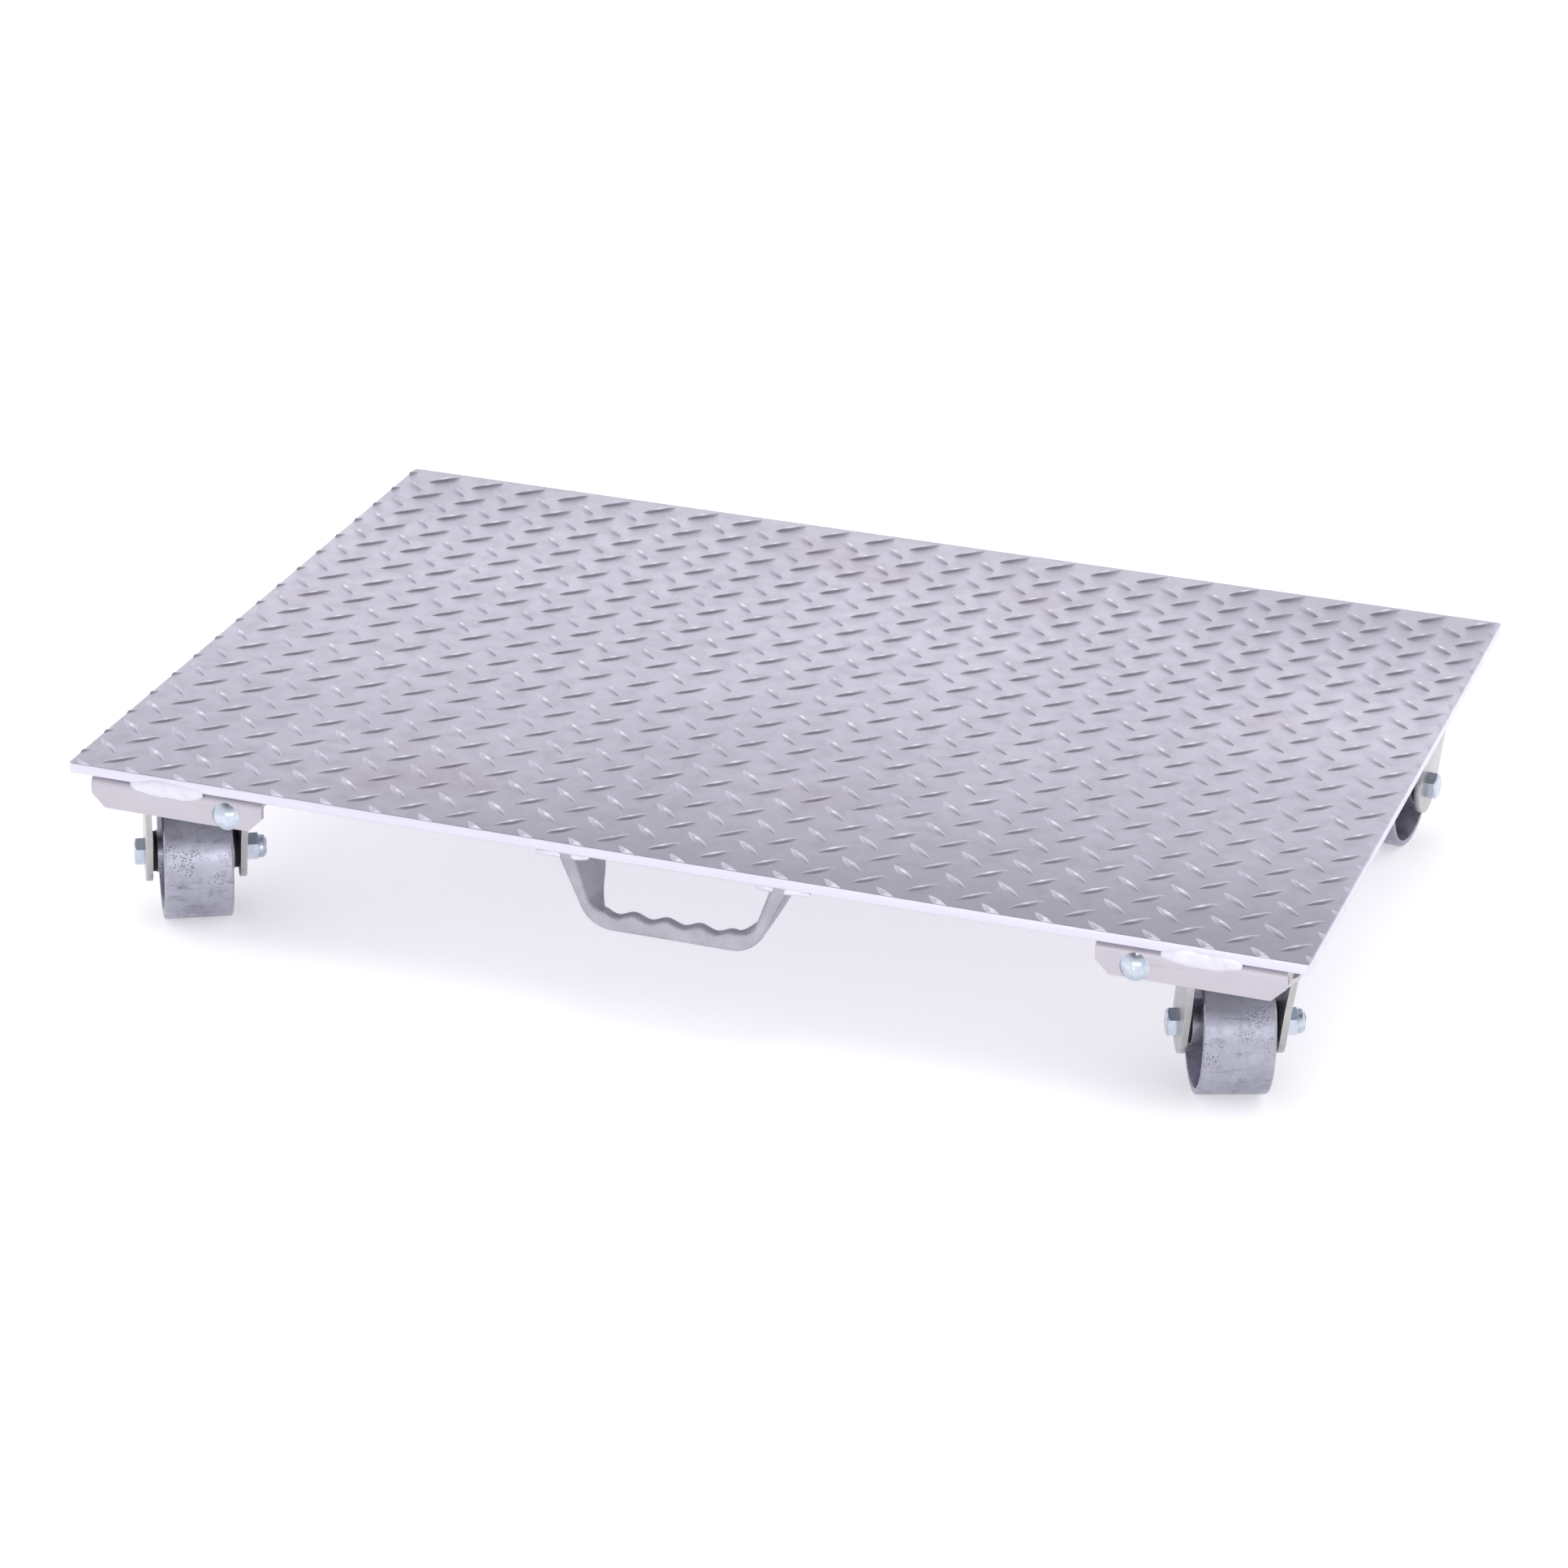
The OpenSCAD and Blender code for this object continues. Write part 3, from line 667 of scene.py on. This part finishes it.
def cast_wheel(corner):
    """Silver-grey cast wheel: pits, scuffs, a seam round the tread's middle, grime in the dish."""
    spin = next(j for j in frame["joints"] if j["name"] == f"spin_{corner}")
    wheel_radius = spin["pos_m"][2]  # the wheel stands on the floor
    s = Shader(f"cast_wheel_{corner}")
    s.set("Metallic", 0.85)
    local = s.node("ShaderNodeVectorMath", operation="SUBTRACT")
    s.link(s.coords, local.inputs[0])
    local.inputs[1].default_value = spin["pos_m"]
    along = s.node("ShaderNodeVectorMath", operation="DOT_PRODUCT")
    s.link(local.outputs["Vector"], along.inputs[0])
    along.inputs[1].default_value = spin["axis"]
    across = along.outputs["Value"]
    length = s.node("ShaderNodeVectorMath", operation="LENGTH")
    s.link(local.outputs["Vector"], length.inputs[0])
    reach2 = s.math("MULTIPLY", length.outputs["Value"], length.outputs["Value"])
    radius = s.math("SQRT", s.math("SUBTRACT", reach2, s.math("MULTIPLY", across, across)))

    cloud = s.noise(24.0, 4.0, 0.6)
    fine = s.noise(170.0, 5.0, 0.65)
    color = s.mix(s.between(cloud, 0.32, 0.68), (0.33, 0.33, 0.395), (0.42, 0.42, 0.495))
    color = s.mix(s.math("MULTIPLY", s.between(fine, 0.48, 0.72), 0.5), color, (0.27, 0.27, 0.31))
    pits = s.between(s.cells(640.0), 0.34, 0.22)
    cluster = s.between(s.noise(55.0, 4.0, 0.6), 0.52, 0.62)
    pits = s.math("MULTIPLY", pits, cluster)
    seam_wobble = s.math("MULTIPLY", s.math("SUBTRACT", s.noise(60.0, 3.0), 0.5), 5 * MM)
    seam = s.math("ABSOLUTE", s.math("ADD", across, seam_wobble))
    seam = s.math("MULTIPLY", s.between(seam, 2.2 * MM, 0.2 * MM), s.between(fine, 0.42, 0.62))
    tread = s.between(radius, wheel_radius - 1.3 * MM, wheel_radius - 0.3 * MM)
    seam = s.math("MULTIPLY", seam, tread)
    scuff = s.between(s.noise(1.0, 3.0, 0.6, s.stretch((45, 45, 230))), 0.56, 0.70)
    color = s.mix(s.math("MULTIPLY", scuff, 0.5), color, (0.17, 0.17, 0.19))
    color = s.mix(s.math("MULTIPLY", pits, 0.9), color, (0.07, 0.065, 0.07))
    color = s.mix(s.math("MULTIPLY", seam, 0.45), color, (0.24, 0.235, 0.25))
    dish = s.between(radius, wheel_radius - 2.8 * MM, wheel_radius - 10.8 * MM)
    grime = s.math("MULTIPLY", dish, s.between(s.noise(50.0, 4.0), 0.25, 0.7, 0.10, 0.35))
    color = s.mix(grime, color, (0.22, 0.215, 0.23))
    s.set("Base Color", color)
    s.set("Roughness", s.between(fine, 0.3, 0.75, 0.26, 0.44))
    coarse = s.bump(fine, 0.14 * MM, 0.5)
    s.set("Normal", s.bump(s.math("SUBTRACT", 1.0, pits), 0.25 * MM, 0.8, coarse))
    return s.material


def paint(obj, material):
    obj.data.materials.clear()
    obj.data.materials.append(material)


JOIN_GAP = 0.002 * MM
SHARP_ANGLE = 32


def soften(obj, width):
    """Rounds the sharp edges of a CAD part with modifiers only."""
    weld = obj.modifiers.new("join", "WELD")
    weld.merge_threshold = JOIN_GAP
    bevel = obj.modifiers.new("edge_round", "BEVEL")
    bevel.width = width
    bevel.segments = 2
    bevel.limit_method = "ANGLE"
    bevel.angle_limit = math.radians(SHARP_ANGLE)
    bevel.harden_normals = True


# ---- Put it together -------------------------------------------------------------------

CAD_MATERIALS = (
    (bracket_sheet, ("bracket",)),
    (bare_steel, ("spacer_bars",)),
    (zinc_bolt, ("retaining_bolts", "retaining_nuts", "plate_bolts", "axle_bolt", "axle_nut")),
    (caster_steel, ("top_plate", "fork")),
    (race_steel, ("upper_race", "kingpin", "race_balls", "axle_sleeve", "roller_bearing")),
    (seal_black, ("seal_washers",)),
)
ROUNDED = {"bracket": 0.35, "fork": 0.5, "top_plate": 0.5, "axle_bolt": 0.3, "axle_nut": 0.3}


def dress_cad_nodes():
    """Paints the CAD parts that stay visible and rounds the edges of the ones seen close."""
    materials = {}
    for build, parts in CAD_MATERIALS:
        material = build()
        for part in parts:
            materials[part] = material
    for name, obj in frame["nodes"].items():
        part = name[:-3] if name[-3:-2] == "_" and name[-2:] in CORNERS else name
        if part == "wheel":
            paint(obj, cast_wheel(name[-2:]))
        elif part in materials:
            paint(obj, materials[part])
        if part in ROUNDED:
            soften(obj, ROUNDED[part] * MM)


# ---- Camera and studio -----------------------------------------------------------------

CAMERA_AZIMUTH = 18.0947    # degrees, towards the truck's right end
CAMERA_ELEVATION = 23.9781
CAMERA_ROLL = -1.4109
CAMERA_PLACE = (1.06691, -3.33176, 1.62955)
CAMERA_SENSOR = 36.0
CAMERA_LENS = 116.3038
FLOOR_HALF = 30.0
WORLD_STRENGTH = 1.35
# Sine of the height above the horizon, and the light's level there
WORLD_LEVELS = (
    (0.0, 0.92), (0.25, 0.92), (0.36, 0.80), (0.56, 0.74), (0.76, 0.32), (0.90, 0.12)
)


def build_camera():
    """The camera that took the photo, in the part's frame."""
    azimuth = math.radians(CAMERA_AZIMUTH)
    elevation = math.radians(CAMERA_ELEVATION)
    roll = math.radians(CAMERA_ROLL)
    place = Vector(CAMERA_PLACE)
    forward = Vector((
        -math.sin(azimuth) * math.cos(elevation),
        math.cos(azimuth) * math.cos(elevation),
        -math.sin(elevation),
    ))
    right = Vector((math.cos(azimuth), math.sin(azimuth), 0))
    down = forward.cross(right)
    tilted_right = right * math.cos(roll) + down * math.sin(roll)
    tilted_down = -right * math.sin(roll) + down * math.cos(roll)
    data = bpy.data.cameras.new("camera")
    data.sensor_width = CAMERA_SENSOR
    data.lens = CAMERA_LENS
    data.clip_end = 100
    camera = bpy.data.objects.new("camera", data)
    rotation = Matrix((tilted_right, -tilted_down, -forward)).transposed()
    camera.matrix_world = Matrix.Translation(place) @ rotation.to_4x4()
    bpy.context.scene.collection.objects.link(camera)
    bpy.context.scene.camera = camera


def area_light(name, place, target, size, power, reflected=True):
    data = bpy.data.lights.new(name, "AREA")
    data.shape = "RECTANGLE"
    data.size, data.size_y = size
    data.energy = power
    obj = bpy.data.objects.new(name, data)
    obj.location = place
    direction = Vector(target) - Vector(place)
    obj.rotation_euler = direction.to_track_quat("-Z", "Y").to_euler()
    obj.visible_glossy = reflected
    bpy.context.scene.collection.objects.link(obj)


def build_studio():
    """A pale plain floor, a bright world that darkens upwards, and three soft lamps."""
    half = FLOOR_HALF
    corners = [(-half, -half, 0), (half, -half, 0), (half, half, 0), (-half, half, 0)]
    floor = new_object("studio_floor", corners, [(0, 1, 2, 3)])
    s = Shader("studio_floor")
    s.set("Base Color", s.mix(s.noise(1.5, 2.0), (0.88, 0.88, 0.89), (0.92, 0.92, 0.925)))
    s.set("Roughness", 0.9)
    s.set("Specular IOR Level", 0.0)
    s.set("Emission Color", (1.0, 1.0, 1.0, 1.0))
    s.set("Emission Strength", 0.36)
    # Seen from below, the floor is clear, so the truck's underside can be looked at
    one_sided = s.node("ShaderNodeMixShader")
    s.link(s.node("ShaderNodeNewGeometry").outputs["Backfacing"], one_sided.inputs[0])
    s.link(s.bsdf.outputs["BSDF"], one_sided.inputs[1])
    s.link(s.node("ShaderNodeBsdfTransparent").outputs["BSDF"], one_sided.inputs[2])
    s.link(one_sided.outputs["Shader"], s.tree.nodes["Material Output"].inputs["Surface"])
    paint(floor, s.material)

    world = bpy.data.worlds.new("studio")
    world.use_nodes = True
    tree = world.node_tree
    tree.nodes.clear()
    out = tree.nodes.new("ShaderNodeOutputWorld")
    back = tree.nodes.new("ShaderNodeBackground")
    coords = tree.nodes.new("ShaderNodeTexCoord")
    split = tree.nodes.new("ShaderNodeSeparateXYZ")
    ramp = tree.nodes.new("ShaderNodeValToRGB")
    tree.links.new(coords.outputs["Generated"], split.inputs[0])
    tree.links.new(split.outputs["Z"], ramp.inputs["Fac"])
    tree.links.new(ramp.outputs["Color"], back.inputs["Color"])
    tree.links.new(back.outputs[0], out.inputs[0])
    ramp.color_ramp.interpolation = "LINEAR"
    stops = ramp.color_ramp.elements
    stops.remove(stops[-1])
    for index, (height, level) in enumerate(WORLD_LEVELS):
        stop = stops[0] if index == 0 else stops.new(height)
        stop.position = height
        stop.color = (level * 0.985, level * 0.98, min(1.0, level * 1.03), 1)
    back.inputs["Strength"].default_value = WORLD_STRENGTH
    bpy.context.scene.world = world

    area_light("ceiling", (0, 0, 3.2), (0, 0, 0), (5, 5), 95, reflected=False)
    area_light("front_card", (0.9, -3.6, 0.75), (0, 0, 0.1), (3.4, 1.1), 15)
    area_light("high_card", (0.5, -1.6, 3.2), (0, 0, 0.1), (1.0, 0.5), 9)
    scene = bpy.context.scene
    scene.view_settings.view_transform = "Standard"
    scene.view_settings.look = "None"


deck_plate, deck_lugs = build_deck()
pull_handle = build_handle()
bracket_welds, handle_welds = build_welds()
deck_metal = tread_plate()
bead_metal = weld_metal()
for piece in (deck_plate, deck_lugs):
    paint(piece, deck_metal)
paint(pull_handle, cast_aluminium())
for piece in (bracket_welds, handle_welds):
    paint(piece, bead_metal)
dress_cad_nodes()
build_camera()
build_studio()
